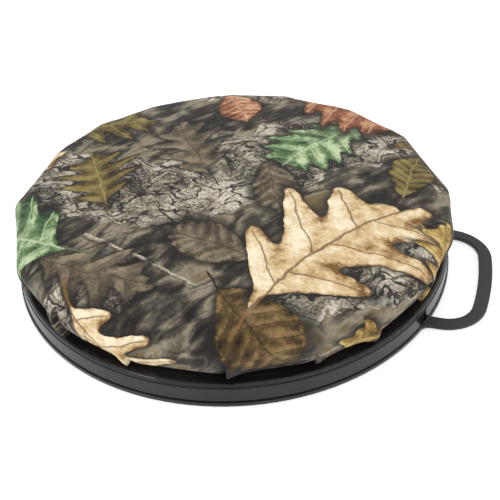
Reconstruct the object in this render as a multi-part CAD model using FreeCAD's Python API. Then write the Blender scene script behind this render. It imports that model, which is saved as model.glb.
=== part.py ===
import FreeCAD, Part
import math
import os

# Padded swivel seat on a press-on lid for an open-head pail.
# Millimetres. The origin is on the swivel axis, in the plane of the lid's lower lip.
# +Z is up and +X points along the middle of the carry handle.

# Lid: lower lip, upright band, rounded rim, recessed deck and the plug wall that enters the pail
LIP_R = 159.0
LIP_H = 3.0
LIP_ROUND = 0.5
CREASE_R = 157.2
BAND_FOOT_R = 158.0
BAND_HEAD_R = 157.3
BAND_HEAD_Z = 13.2
RIM_GROOVE_R = 156.2
RIM_GROOVE_H = 1.0
RIM_TOP_Z = 16.5
RIM_ROUND = 2.2
RIM_UNDER_Z = 14.0
SKIRT_INNER_R = 155.3
PLUG_OUTER_R = 142.5
PLUG_INNER_R = 140.0
DECK_LOW_Z = 7.5
DECK_HIGH_Z = 10.0
HUB_R = 11.0
HUB_TOP_Z = 13.0
HUB_BORE_R = 5.0

# Stiffening ribs under the deck, and the snap lugs that hold the pail's bead
RIB_COUNT = 12
RIB_T = 2.0
RIB_LOW_Z = 1.5
RIB_INNER_R = 24.0
RIB_RING_R = 112.0
LUG_COUNT = 12
LUG_ARC_DEG = 12.0
LUG_DEPTH = 1.2
LUG_LOW_Z = 2.0
LUG_HIGH_Z = 4.5

# Carry handle: a flat strap loop, level with the lip
STRAP_H = 3.0
STRAP_REACH = 189.4
STRAP_INNER_REACH = 180.1
STRAP_CORNER = (157.5, 24.0)
STRAP_CORNER_R = 30.5
STRAP_INNER_CORNER = (159.5, 26.5)
STRAP_INNER_CORNER_R = 19.0
STRAP_ROOT_X = 140.0
STRAP_ROOT_ROUND = 5.0
STRAP_EDGE_ROUND = 0.7
SLOT_W = 3.4
SLOT_DEPTH = 1.2
SLOT_LATERAL = 52.5

# Sealing ring in the lid's groove
GASKET_INNER_R = 144.6
GASKET_OUTER_R = 154.0
GASKET_T = 1.4

# Thrust ball bearing between the lid's deck and the seat board
BALL_R = 3.0
BALL_COUNT = 36
BALL_PITCH_R = 75.0
BALL_Z = 15.0
TRACK_GAP = 0.25
RACE_INNER_R = 62.0
RACE_OUTER_R = 98.0
RACE_T = 4.0
RACE_SPACE = 2.0
RACE_ROUND = 0.8
RACE_SCREW_R = 88.0
RACE_SCREW_COUNT = 6
CAGE_T = 1.2
CAGE_HALF_W = 5.0
CAGE_HOLE_R = 3.2

# M5 race screws, their nuts, washers and the tee nuts in the board
SCREW_R = 2.5
SCREW_HOLE_R = 2.7
SCREW_HEAD_R = 4.6
SCREW_SINK = 0.1
SCREW_SOCKET_AF = 3.0
SCREW_SOCKET_DEPTH = 1.2
NUT_AF = 8.0
NUT_H = 4.0
NUT_BORE_R = 2.55
WASHER_R = 5.0
WASHER_T = 1.0
LOWER_SCREW_END_Z = 1.8
TEE_FLANGE_R = 7.0
TEE_FLANGE_T = 1.2
TEE_BARREL_R = 3.4
TEE_BARREL_LOW_Z = 21.5
UPPER_SCREW_END_Z = 27.0

# M6 pivot bolt with a square neck, its bush, washer and thin lock nut
BOLT_R = 3.0
BOLT_HEAD_R = 8.2
BOLT_HEAD_H = 3.2
BOLT_DOME_SHARE = 0.75
BOLT_NECK = 6.2
BOLT_NECK_H = 3.0
BOLT_HEAD_Z = 24.0
BOLT_END_Z = 1.0
BUSH_BORE_R = 3.08
BUSH_R = 4.95
BUSH_FLANGE_R = 8.5
BUSH_FLANGE_T = 1.2
PIVOT_WASHER_R = 9.0
PIVOT_WASHER_T = 1.5
PIVOT_PLAY = 0.3
LOCKNUT_AF = 10.0
LOCKNUT_H = 4.0

# Seat board
BOARD_R = 147.0
BOARD_LOW_Z = 20.0
BOARD_T = 8.0
BOARD_ROUND = 1.5
BOARD_CLEAR = 0.1

# Cushion: the cover's outer surface, from its widest circle up over the shoulder to the crown and down
# to the board's edge
COVER_T = 1.0
COVER_WIDEST_R = 157.0
COVER_WIDEST_Z = 37.5
SHOULDER_R = 13.0
FLANK_R = 23.0
CROWN_Z = 56.5
FOAM_GAP = 0.3
HEM_INNER_R = 118.0
HEM_CORNER_R = 1.6

# Elastic cord in the hem's tunnel, and the staples at the cover's pull points
CORD_R = 1.15
TUNNEL_R = 2.0
TUNNEL_GAP = 0.05
TUNNEL_Z = 17.9
STAPLE_R = 132.0
STAPLE_CROWN = 11.0
STAPLE_WIRE_W = 1.2
STAPLE_WIRE_T = 0.6
STAPLE_LEG = 7.0
PULL_ANGLES_DEG = (0, 17, 45, 68, 90, 112, 133, 153, 171, 198, 224, 244, 263, 287, 307, 322, 341)

UP = FreeCAD.Vector(0, 0, 1)
ORIGIN = FreeCAD.Vector(0, 0, 0)


def at(r, z):
    """A point of a section, at radius r and height z."""
    return FreeCAD.Vector(r, 0, z)


def closed_wire(start, steps):
    """A closed outline of points. A step of one point is a straight run, and of two is an arc."""
    edges = []
    here = start
    for step in [*steps, (start,)]:
        if len(step) == 1:
            edges.append(Part.LineSegment(here, step[0]).toShape())
        else:
            edges.append(Part.Arc(here, step[0], step[1]).toShape())
        here = step[-1]
    return Part.Wire(edges)


def turned(start, *steps):
    """A section turned once round the swivel axis."""
    return Part.Face(closed_wire(start, steps)).revolve(ORIGIN, UP, 360)


def on_circle(centre, radius, degrees):
    """A point of a section, on a circle."""
    angle = math.radians(degrees)
    return at(centre.x + radius * math.cos(angle), centre.z + radius * math.sin(angle))


def cylinder(radius, low, high, centre=(0.0, 0.0)):
    """An upright cylinder."""
    return Part.makeCylinder(radius, high - low, FreeCAD.Vector(centre[0], centre[1], low))


def ring(inner, outer, low, high):
    """An upright tube round the swivel axis."""
    return cylinder(outer, low, high).cut(cylinder(inner, low, high))


def spun(shape, degrees):
    """A copy of a shape, turned about the swivel axis."""
    copy = shape.copy()
    copy.rotate(ORIGIN, UP, degrees)
    return copy


def around(shape, count, first=0.0):
    """Evenly spaced copies of a shape round the swivel axis."""
    return [spun(shape, first + 360.0 * i / count) for i in range(count)]


def hexagon(across_flats, low, high, centre=(0.0, 0.0)):
    """An upright hexagonal prism."""
    corner_r = across_flats / math.sqrt(3)
    corners = []
    for i in range(6):
        angle = math.radians(60 * i)
        x = centre[0] + corner_r * math.cos(angle)
        y = centre[1] + corner_r * math.sin(angle)
        corners.append(FreeCAD.Vector(x, y, low))
    corners.append(corners[0])
    return Part.Face(Part.makePolygon(corners)).extrude(UP * (high - low))


def block(x_size, y_size, low, high, x_mid=0.0, y_mid=0.0):
    """An upright box about a middle point."""
    corner = FreeCAD.Vector(x_mid - x_size / 2, y_mid - y_size / 2, low)
    return Part.makeBox(x_size, y_size, high - low, corner)


def save(node, *solids):
    """Write a node's solid, or its group of separate solids."""
    shape = solids[0] if len(solids) == 1 else Part.makeCompound(list(solids))
    shape.exportStep(os.path.join("parts", node + ".step"))


def lid_shell():
    """The lid without ribs, lugs or holes: skirt, rim, plug wall and deck in one section."""
    bead = at(RIM_GROOVE_R + 0.5 - RIM_ROUND, RIM_TOP_Z - RIM_ROUND)
    inner = at(PLUG_INNER_R + RIM_ROUND, RIM_TOP_Z - RIM_ROUND)
    lip_low = at(LIP_R - LIP_ROUND, LIP_ROUND)
    lip_high = at(LIP_R - LIP_ROUND, LIP_H - LIP_ROUND)
    return turned(
        at(SKIRT_INNER_R, 0),
        (at(LIP_R - LIP_ROUND, 0),),
        (on_circle(lip_low, LIP_ROUND, -45), at(LIP_R, LIP_ROUND)),
        (at(LIP_R, LIP_H - LIP_ROUND),),
        (on_circle(lip_high, LIP_ROUND, 45), at(LIP_R - LIP_ROUND, LIP_H)),
        (at(CREASE_R, LIP_H + LIP_ROUND / 2),),
        (at(BAND_FOOT_R, LIP_H + 2 * LIP_ROUND),),
        (at(BAND_HEAD_R, BAND_HEAD_Z),),
        (at(RIM_GROOVE_R, BAND_HEAD_Z + RIM_GROOVE_H / 2),),
        (at(bead.x + RIM_ROUND, bead.z),),
        (on_circle(bead, RIM_ROUND, 45), at(bead.x, RIM_TOP_Z)),
        (at(inner.x, RIM_TOP_Z),),
        (on_circle(inner, RIM_ROUND, 135), at(PLUG_INNER_R, inner.z)),
        (at(PLUG_INNER_R, DECK_HIGH_Z),),
        (at(HUB_R, DECK_HIGH_Z),),
        (at(HUB_R, HUB_TOP_Z),),
        (at(HUB_BORE_R, HUB_TOP_Z),),
        (at(HUB_BORE_R, DECK_LOW_Z),),
        (at(PLUG_INNER_R, DECK_LOW_Z),),
        (at(PLUG_INNER_R, 0),),
        (at(PLUG_OUTER_R, 0),),
        (at(PLUG_OUTER_R, RIM_UNDER_Z),),
        (at(SKIRT_INNER_R, RIM_UNDER_Z),),
    )


def lid_ribs():
    """Radial ribs and two ring ribs on the deck's underside."""
    sunk = 0.5
    rib_top = DECK_LOW_Z + sunk
    length = PLUG_INNER_R + sunk - RIB_INNER_R
    radial = block(length, RIB_T, RIB_LOW_Z, rib_top, x_mid=RIB_INNER_R + length / 2)
    rings = [ring(r, r + RIB_T, RIB_LOW_Z, rib_top) for r in (RIB_INNER_R, RIB_RING_R)]
    return around(radial, RIB_COUNT, 180.0 / RIB_COUNT) + rings


def lid_lugs():
    """Short inward lugs near the foot of the skirt, sloped above and below."""
    sunk = 0.5
    mid_z = (LUG_LOW_Z + LUG_HIGH_Z) / 2
    section = closed_wire(
        at(SKIRT_INNER_R + sunk, LUG_LOW_Z),
        [
            (at(SKIRT_INNER_R, LUG_LOW_Z),),
            (at(SKIRT_INNER_R - LUG_DEPTH, mid_z),),
            (at(SKIRT_INNER_R, LUG_HIGH_Z),),
            (at(SKIRT_INNER_R + sunk, LUG_HIGH_Z),),
        ],
    )
    lug = Part.Face(section).revolve(ORIGIN, UP, LUG_ARC_DEG)
    return around(lug, LUG_COUNT, (360.0 / LUG_COUNT - LUG_ARC_DEG) / 2)


def bucket_lid():
    """The moulded lid."""
    lid = lid_shell().fuse(lid_ribs() + lid_lugs())
    hole = cylinder(SCREW_HOLE_R, 0, RIM_TOP_Z, (RACE_SCREW_R, 0))
    slots = []
    for side in (-1, 1):
        degrees = side * math.degrees(math.asin(SLOT_LATERAL / BAND_FOOT_R))
        depth = 2 * SLOT_DEPTH
        slot = block(depth, SLOT_W, LIP_H + LIP_ROUND, BAND_HEAD_Z, x_mid=BAND_FOOT_R)
        slots.append(spun(slot, degrees))
    return lid.cut(around(hole, RACE_SCREW_COUNT) + slots)


def strap_outline(corner, corner_r, reach):
    """One edge of the handle's loop: straight arms, round corners and a slightly arched grip.

    The arch meets both corners smoothly. The outline is closed back through the lid.
    """
    depth = reach - corner[0]
    arch_r = (depth**2 + corner[1] ** 2 - corner_r**2) / (2 * (depth - corner_r))
    meet = math.atan2(corner[1], corner[0] - (reach - arch_r))
    middle = (meet + math.pi / 2) / 2
    low, high = [
        {
            "root": plan_point((STRAP_ROOT_X, corner[1]), corner_r, math.pi / 2, side),
            "start": plan_point(corner, corner_r, math.pi / 2, side),
            "mid": plan_point(corner, corner_r, middle, side),
            "end": plan_point(corner, corner_r, meet, side),
        }
        for side in (-1, 1)
    ]
    steps = [
        (low["start"],),
        (low["mid"], low["end"]),
        (FreeCAD.Vector(reach, 0, 0), high["end"]),
        (high["mid"], high["start"]),
        (high["root"],),
    ]
    return closed_wire(low["root"], steps)


def plan_point(centre, radius, angle, side):
    """A point of a circle in the lip's plane, mirrored across the X axis where side is -1."""
    x = centre[0] + radius * math.cos(angle)
    y = centre[1] + radius * math.sin(angle)
    return FreeCAD.Vector(x, side * y, 0)


def strap_root_web(side):
    """The small curved web between an arm's outer edge and the lip."""
    arm_y = STRAP_CORNER[1] + STRAP_CORNER_R
    web_y = arm_y + STRAP_ROOT_ROUND
    web_x = math.sqrt((LIP_R + STRAP_ROOT_ROUND) ** 2 - web_y**2)
    lip_angle = math.atan2(web_y, web_x) + math.pi
    middle = (lip_angle + 1.5 * math.pi) / 2
    centre = (web_x, web_y)
    on_lip = plan_point(centre, STRAP_ROOT_ROUND, lip_angle, side)
    on_arm = plan_point(centre, STRAP_ROOT_ROUND, 1.5 * math.pi, side)
    in_lid = plan_point((STRAP_ROOT_X, arm_y), 0.0, 0.0, side)
    in_arm = plan_point((web_x, arm_y - STRAP_EDGE_ROUND), 0.0, 0.0, side)
    curve = plan_point(centre, STRAP_ROOT_ROUND, middle, side)
    web = Part.Face(closed_wire(on_arm, [(curve, on_lip), (in_lid,), (in_arm,)]))
    return web.extrude(UP * STRAP_H)


def carry_handle():
    """The flat strap loop, with softened edges and a web at each root, ending at the lip."""
    outer = Part.Face(strap_outline(STRAP_CORNER, STRAP_CORNER_R, STRAP_REACH))
    inner = Part.Face(
        strap_outline(STRAP_INNER_CORNER, STRAP_INNER_CORNER_R, STRAP_INNER_REACH)
    )
    loop = outer.extrude(UP * STRAP_H).cut(inner.extrude(UP * STRAP_H))
    rims = [e for e in loop.Edges if is_strap_edge(e)]
    loop = loop.makeFillet(STRAP_EDGE_ROUND, rims)
    loop = loop.fuse([strap_root_web(side) for side in (-1, 1)])
    return loop.cut(cylinder(LIP_R, 0, STRAP_H)).Solids[0]


def is_strap_edge(edge):
    """Whether an edge runs level along the strap, and isn't at the roots' cut ends."""
    box = edge.BoundBox
    return box.ZLength < 0.01 and box.XMax > STRAP_ROOT_X + 0.01


def rim_gasket():
    """The soft sealing ring under the rim."""
    return ring(GASKET_INNER_R, GASKET_OUTER_R, RIM_UNDER_Z - GASKET_T, RIM_UNDER_Z)


def race(low, head_z, screw_up):
    """A bearing ring with a ball track and countersunk holes that open at the head's face."""
    high = low + RACE_T
    blank = turned(
        at(RACE_INNER_R, low + RACE_ROUND),
        (at(RACE_INNER_R + RACE_ROUND, low),),
        (at(RACE_OUTER_R - RACE_ROUND, low),),
        (at(RACE_OUTER_R, low + RACE_ROUND),),
        (at(RACE_OUTER_R, high - RACE_ROUND),),
        (at(RACE_OUTER_R - RACE_ROUND, high),),
        (at(RACE_INNER_R + RACE_ROUND, high),),
        (at(RACE_INNER_R, high - RACE_ROUND),),
    )
    track = Part.makeTorus(BALL_PITCH_R, BALL_R + TRACK_GAP, FreeCAD.Vector(0, 0, BALL_Z), UP)
    hole = cylinder(SCREW_HOLE_R, low, high, (RACE_SCREW_R, 0))
    play = SCREW_HOLE_R - SCREW_R
    sink = countersink(SCREW_HEAD_R + play, SCREW_HOLE_R, head_z, screw_up)
    holes = around(hole.fuse(sink), RACE_SCREW_COUNT)
    return blank.cut([track] + holes)


def countersink(head_r, shank_r, head_z, screw_up):
    """A right-angled cone at a race screw's place, widest at the head's face."""
    depth = head_r - shank_r
    centre = FreeCAD.Vector(RACE_SCREW_R, 0, head_z)
    if screw_up:
        return Part.makeCone(head_r, shank_r, depth, centre, UP)
    return Part.makeCone(head_r, shank_r, depth, centre, UP * -1)


def race_screw(head_z, end_z):
    """A countersunk M5 screw with a hexagonal socket in its head."""
    screw_up = end_z > head_z
    face_z = head_z + SCREW_SINK if screw_up else head_z - SCREW_SINK
    head = countersink(SCREW_HEAD_R, SCREW_R, face_z, screw_up)
    place = (RACE_SCREW_R, 0)
    shank = cylinder(SCREW_R, min(face_z, end_z), max(face_z, end_z), place)
    reach = SCREW_SOCKET_DEPTH if screw_up else -SCREW_SOCKET_DEPTH
    low, high = sorted((face_z, face_z + reach))
    socket = hexagon(SCREW_SOCKET_AF, low, high, place)
    return head.fuse(shank).cut(socket)


def ball_cage():
    """The flat ring that spaces the balls."""
    inner = BALL_PITCH_R - CAGE_HALF_W
    outer = BALL_PITCH_R + CAGE_HALF_W
    low = BALL_Z - CAGE_T / 2
    high = BALL_Z + CAGE_T / 2
    hole = cylinder(CAGE_HOLE_R, low, high, (BALL_PITCH_R, 0))
    return ring(inner, outer, low, high).cut(around(hole, BALL_COUNT))


def bearing_balls():
    """The ring of steel balls."""
    ball = Part.makeSphere(BALL_R, FreeCAD.Vector(BALL_PITCH_R, 0, BALL_Z))
    return around(ball, BALL_COUNT)


def lower_race_nuts():
    """Nuts under the deck, on the lower race's screws."""
    high = DECK_LOW_Z - WASHER_T
    place = (RACE_SCREW_R, 0)
    bore = cylinder(NUT_BORE_R, high - NUT_H, high, place)
    return around(hexagon(NUT_AF, high - NUT_H, high, place).cut(bore), RACE_SCREW_COUNT)


def lower_race_washers():
    """Washers between the deck and the lower nuts."""
    low = DECK_LOW_Z - WASHER_T
    place = (RACE_SCREW_R, 0)
    washer = cylinder(WASHER_R, low, DECK_LOW_Z, place)
    washer = washer.cut(cylinder(SCREW_HOLE_R, low, DECK_LOW_Z, place))
    return around(washer, RACE_SCREW_COUNT)


def tee_nut(play=0.0):
    """A flanged nut let into the board's top, or with play the pocket that it needs."""
    top = BOARD_LOW_Z + BOARD_T
    place = (RACE_SCREW_R, 0)
    flange = cylinder(TEE_FLANGE_R + play, top - TEE_FLANGE_T - play, top, place)
    barrel = cylinder(TEE_BARREL_R + play, TEE_BARREL_LOW_Z, top, place)
    return flange.fuse(barrel)


def board_tee_nuts():
    """The flanged nuts that the upper race's screws enter."""
    bore = cylinder(NUT_BORE_R, BOARD_LOW_Z, BOARD_LOW_Z + BOARD_T, (RACE_SCREW_R, 0))
    return around(tee_nut().cut(bore), RACE_SCREW_COUNT)


def pivot_bolt():
    """The centre bolt, with a low domed head and a square neck that the board holds."""
    top = BOLT_HEAD_Z + BOLT_HEAD_H
    rise = BOLT_HEAD_H * BOLT_DOME_SHARE
    dome_r = (BOLT_HEAD_R**2 + rise**2) / (2 * rise)
    dome = Part.makeSphere(dome_r, FreeCAD.Vector(0, 0, top - dome_r))
    head = cylinder(BOLT_HEAD_R, BOLT_HEAD_Z, top).common(dome)
    neck = block(BOLT_NECK, BOLT_NECK, BOLT_HEAD_Z - BOLT_NECK_H, BOLT_HEAD_Z)
    shank = cylinder(BOLT_R, BOLT_END_Z, BOLT_HEAD_Z)
    return head.fuse([neck, shank])


def pivot_bush():
    """The flanged nylon bush in the lid's hub."""
    body = cylinder(BUSH_R, DECK_LOW_Z, HUB_TOP_Z)
    flange = cylinder(BUSH_FLANGE_R, HUB_TOP_Z, HUB_TOP_Z + BUSH_FLANGE_T)
    return body.fuse(flange).cut(cylinder(BUSH_BORE_R, 0, RIM_TOP_Z))


def pivot_washer_top():
    """The height of the pivot washer's upper face, with its running play under the deck."""
    return DECK_LOW_Z - PIVOT_PLAY


def pivot_washer():
    """The wide washer under the lid's hub."""
    top = pivot_washer_top()
    return ring(BOLT_R + 0.05, PIVOT_WASHER_R, top - PIVOT_WASHER_T, top)


def pivot_locknut():
    """The thin lock nut on the pivot bolt's end."""
    top = pivot_washer_top() - PIVOT_WASHER_T
    low = top - LOCKNUT_H
    return hexagon(LOCKNUT_AF, low, top).cut(cylinder(BOLT_R + 0.05, low, top))


def seat_board(staples):
    """The round board, with pockets for the bolt's head and neck, the tee nuts and the staples."""
    top = BOARD_LOW_Z + BOARD_T
    upper = at(BOARD_R - BOARD_ROUND, top - BOARD_ROUND)
    blank = turned(
        at(0, BOARD_LOW_Z),
        (at(BOARD_R, BOARD_LOW_Z),),
        (at(BOARD_R, top - BOARD_ROUND),),
        (on_circle(upper, BOARD_ROUND, 45), at(BOARD_R - BOARD_ROUND, top)),
        (at(0, top),),
    )
    neck = BOLT_NECK + 2 * BOARD_CLEAR
    bolt_pocket = cylinder(BOLT_HEAD_R + BOARD_CLEAR, BOLT_HEAD_Z, top)
    neck_hole = block(neck, neck, BOARD_LOW_Z, BOLT_HEAD_Z)
    screw_hole = cylinder(SCREW_HOLE_R, BOARD_LOW_Z, top, (RACE_SCREW_R, 0))
    pocket = tee_nut(BOARD_CLEAR).fuse(screw_hole)
    return blank.cut([bolt_pocket, neck_hole] + around(pocket, RACE_SCREW_COUNT) + staples)


def crown_radius(depth):
    """The radius of the crown's arc that meets the shoulder's arc smoothly, a depth below the cover."""
    shoulder_r = SHOULDER_R - depth
    centre_r = COVER_WIDEST_R - SHOULDER_R
    rise = CROWN_Z - depth - COVER_WIDEST_Z
    return (centre_r**2 + rise**2 - shoulder_r**2) / (2 * (rise - shoulder_r))


def cushion_steps(depth, foot_z):
    """The cushion's surface a depth below the cover's, from the flank's foot up to the crown."""
    shoulder_r = SHOULDER_R - depth
    flank_r = FLANK_R - depth
    shoulder = at(COVER_WIDEST_R - SHOULDER_R, COVER_WIDEST_Z)
    flank = at(COVER_WIDEST_R - FLANK_R, COVER_WIDEST_Z)
    crown_r = crown_radius(depth)
    crown = at(0, CROWN_Z - depth - crown_r)
    lean = math.degrees(math.asin((foot_z - flank.z) / flank_r))
    meet = math.degrees(math.atan2(shoulder.z - crown.z, shoulder.x))
    foot = on_circle(flank, flank_r, lean)
    steps = [
        (on_circle(flank, flank_r, lean / 2), at(flank.x + flank_r, flank.z)),
        (on_circle(shoulder, shoulder_r, meet / 2), on_circle(shoulder, shoulder_r, meet)),
        (on_circle(crown, crown_r, (meet + 90) / 2), at(0, CROWN_Z - depth)),
    ]
    return foot, steps


def cushion_solid(depth, foot_z, bottom_z, bottom_r):
    """A solid under the cushion's surface, with a small bevel at its foot."""
    foot, steps = cushion_steps(depth, foot_z)
    return turned(foot, *steps, (at(0, bottom_z),), (at(bottom_r, bottom_z),))


def seat_cover():
    """The cover: a thin skin over the cushion, turned in under the board to a tunnelled hem."""
    low = BOARD_LOW_Z - COVER_T
    outer = cushion_solid(0, low + HEM_CORNER_R, low, BOARD_R + HEM_CORNER_R / 2)
    inner = cushion_solid(COVER_T, BOARD_LOW_Z + HEM_CORNER_R / 2, BOARD_LOW_Z, BOARD_R + 0.1)
    centre = FreeCAD.Vector(0, 0, TUNNEL_Z)
    tunnel = Part.makeTorus(HEM_INNER_R, TUNNEL_R, centre, UP)
    core = Part.makeTorus(HEM_INNER_R, CORD_R + TUNNEL_GAP, centre, UP)
    opening = cylinder(HEM_INNER_R, low, BOARD_LOW_Z)
    above = cylinder(HEM_INNER_R + 2 * TUNNEL_R, BOARD_LOW_Z, BOARD_LOW_Z + BOARD_T)
    return outer.cut([inner, opening]).fuse(tunnel).cut([core, above])


def hem_drawcord():
    """The elastic cord in the hem's tunnel."""
    return Part.makeTorus(HEM_INNER_R, CORD_R, FreeCAD.Vector(0, 0, TUNNEL_Z), UP)


def foam_pad():
    """The crowned foam, which wraps the board's edge."""
    depth = COVER_T + FOAM_GAP
    low = BOARD_LOW_Z + FOAM_GAP
    top = BOARD_LOW_Z + BOARD_T
    foot_z = low + 1.0
    body = cushion_solid(depth, foot_z, low, BOARD_R + 0.5)
    return body.cut(cylinder(BOARD_R + BOARD_CLEAR, low, top))


def cover_staples():
    """Staples through the hem into the board, one at each pull point, laid along the rim."""
    crown_low = BOARD_LOW_Z - COVER_T - STAPLE_WIRE_T
    crown_high = BOARD_LOW_Z - COVER_T
    crown = block(STAPLE_WIRE_W, STAPLE_CROWN, crown_low, crown_high, x_mid=STAPLE_R)
    leg_y = (STAPLE_CROWN - STAPLE_WIRE_T) / 2
    legs = [
        block(STAPLE_WIRE_W, STAPLE_WIRE_T, crown_low, crown_high + STAPLE_LEG, STAPLE_R, side)
        for side in (-leg_y, leg_y)
    ]
    staple = crown.fuse(legs)
    return [spun(staple, angle) for angle in PULL_ANGLES_DEG]


def main():
    os.makedirs("parts", exist_ok=True)
    lower_face = DECK_HIGH_Z + RACE_T
    upper_face = lower_face + RACE_SPACE
    staples = cover_staples()

    save("bucket_lid", bucket_lid())
    save("carry_handle", carry_handle())
    save("rim_gasket", rim_gasket())
    save("lower_race", race(DECK_HIGH_Z, lower_face, False))
    lower_screw = race_screw(lower_face, LOWER_SCREW_END_Z)
    save("lower_race_screws", *around(lower_screw, RACE_SCREW_COUNT))
    save("lower_race_washers", *lower_race_washers())
    save("lower_race_nuts", *lower_race_nuts())
    save("pivot_bush", pivot_bush())

    save("ball_cage", ball_cage())
    save("bearing_balls", *bearing_balls())

    save("upper_race", race(upper_face, upper_face, True))
    upper_screw = race_screw(upper_face, UPPER_SCREW_END_Z)
    save("upper_race_screws", *around(upper_screw, RACE_SCREW_COUNT))
    save("board_tee_nuts", *board_tee_nuts())
    save("seat_board", seat_board(staples))
    save("pivot_bolt", pivot_bolt())
    save("pivot_washer", pivot_washer())
    save("pivot_locknut", pivot_locknut())
    save("foam_pad", foam_pad())
    save("seat_cover", seat_cover().cut(staples))
    save("hem_drawcord", hem_drawcord())
    save("cover_staples", *staples)


main()
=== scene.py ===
import math

import bmesh
import bpy
import numpy as np
from mathutils import Matrix, Vector


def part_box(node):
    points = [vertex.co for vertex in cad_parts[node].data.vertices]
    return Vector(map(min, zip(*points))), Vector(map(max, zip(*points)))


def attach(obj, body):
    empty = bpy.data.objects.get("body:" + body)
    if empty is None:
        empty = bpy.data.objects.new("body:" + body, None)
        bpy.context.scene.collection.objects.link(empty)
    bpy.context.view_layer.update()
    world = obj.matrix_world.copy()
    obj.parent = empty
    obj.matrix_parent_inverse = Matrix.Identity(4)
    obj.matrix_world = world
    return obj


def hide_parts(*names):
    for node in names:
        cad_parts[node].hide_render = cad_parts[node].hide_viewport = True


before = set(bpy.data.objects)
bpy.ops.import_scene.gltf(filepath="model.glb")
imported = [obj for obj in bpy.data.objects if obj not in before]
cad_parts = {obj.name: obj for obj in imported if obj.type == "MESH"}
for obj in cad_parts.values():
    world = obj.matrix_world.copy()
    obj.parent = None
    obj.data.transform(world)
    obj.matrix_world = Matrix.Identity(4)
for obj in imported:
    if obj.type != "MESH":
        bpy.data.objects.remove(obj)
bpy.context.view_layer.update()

# Padded swivel seat on a press-on pail lid. Everything is in metres, in the part's own frame:
# the swivel axis is Z, the lid's lip stands on z = 0 and the carry handle points along +X.
MM = 0.001

# The places where the cloth is stapled under the board: angle in degrees, the side on which the pleat's
# outer layer lies, how deep the pleat is, how high it reaches and how far its tip hangs, in millimetres.
PULLS = (
    (0, -1, 3.0, 42, 0.8), (17, 1, 2.2, 38, 1.6), (45, 1, 2.4, 40, 1.2), (68, -1, 1.8, 36, 0.6),
    (90, 1, 3.2, 44, 1.8), (112, -1, 2.0, 38, 0.9), (133, 1, 2.6, 42, 1.5), (153, 1, 3.0, 45, 2.0),
    (171, -1, 2.2, 40, 1.0), (198, -1, 3.0, 46, 2.2), (224, 1, 2.2, 40, 1.2), (244, 1, 7.5, 53, 0.8),
    (263, 1, 3.0, 42, 1.6), (287, -1, 3.8, 48, 1.4), (307, -1, 2.4, 42, 0.8), (322, 1, 3.8, 44, 2.2),
    (341, -1, 2.4, 44, 1.6),
)
SEGMENTS_PER_PULL = 16
PULL_GRADING = 0.8

# The meshes thin out towards the middle: outside each radius, the share by which a ring's segments drop
RING_SHARES = ((112 * MM, 1), (72 * MM, 2), (36 * MM, 4), (14 * MM, 8), (0.0, 16))

cover_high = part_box("seat_cover")[1]
board_low, board_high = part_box("seat_board")

# The cushion's section: crown, shoulder, flank, and the hem turned in under the board
WIDEST_R = cover_high.x
CROWN_Z = cover_high.z
WIDEST_Z = 37.5 * MM
SHOULDER_R = 13.0 * MM
FLANK_R = 23.0 * MM
BOARD_UNDER_Z = board_low.z
CLOTH_T = 0.9 * MM
HEM_Z = BOARD_UNDER_Z - 0.15 * MM
HEM_INNER_R = 119.5 * MM
CORNER_R = 160.6 * MM
POLYGON_FROM_R = 105.0 * MM
ARCH_BETWEEN_PULLS = 1.0 * MM
HEM_CORNER_R = 1.8 * MM
HEM_STEPS = 9
CROWN_SPACING = 5.0 * MM
COVER_SPACING = 2.4 * MM
FOAM_SPACING = 5.0 * MM
FOAM_DEPTH = 5.0 * MM
FOAM_CLEARANCE = 0.3 * MM
FOAM_BASE_RADII = (148 * MM, 120 * MM, 80 * MM, 30 * MM)

# The pleats, in millimetres along the rim from the pleat's edge: how far the outer layer, the trough
# behind it, the lapped part and the hanging tip reach, and where the tension folds fan out to and stand.
PLEAT_EDGE = 0.4
LAYER_REACH = 13.0
TROUGH_REACH = 4.0
LAP_REACH = 5.0
TIP_REACH = 6.0
TENSION_FOLDS = ((-10.0, 0.9), (9.0, 0.7))

# The cloth simulation: pressure, frames, the most that a point may move, and how freely the middle moves
PRESSURE = 4.0
SETTLE_FRAMES = 20
MOST_MOVE = 2.2 * MM
MIDDLE_WEIGHT = 0.35

# The studio: each light's name, place, width and power, the surround's strength and the floor
LIGHTS = (
    ("key", (-0.6, -1.0, 1.25), 0.4, 4.5),
    ("top", (0.1, 0.6, 1.5), 0.6, 3.5),
    ("side", (1.2, -0.6, 0.7), 0.7, 1.2),
)
LIGHTS_AIM = Vector((0, 0, 0.03))
SURROUND_STRENGTH = 0.95
FLOOR_HALF = 6.0
FLOOR_Z = -0.3 * MM


# ---------------------------------------------------------------- node trees


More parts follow.
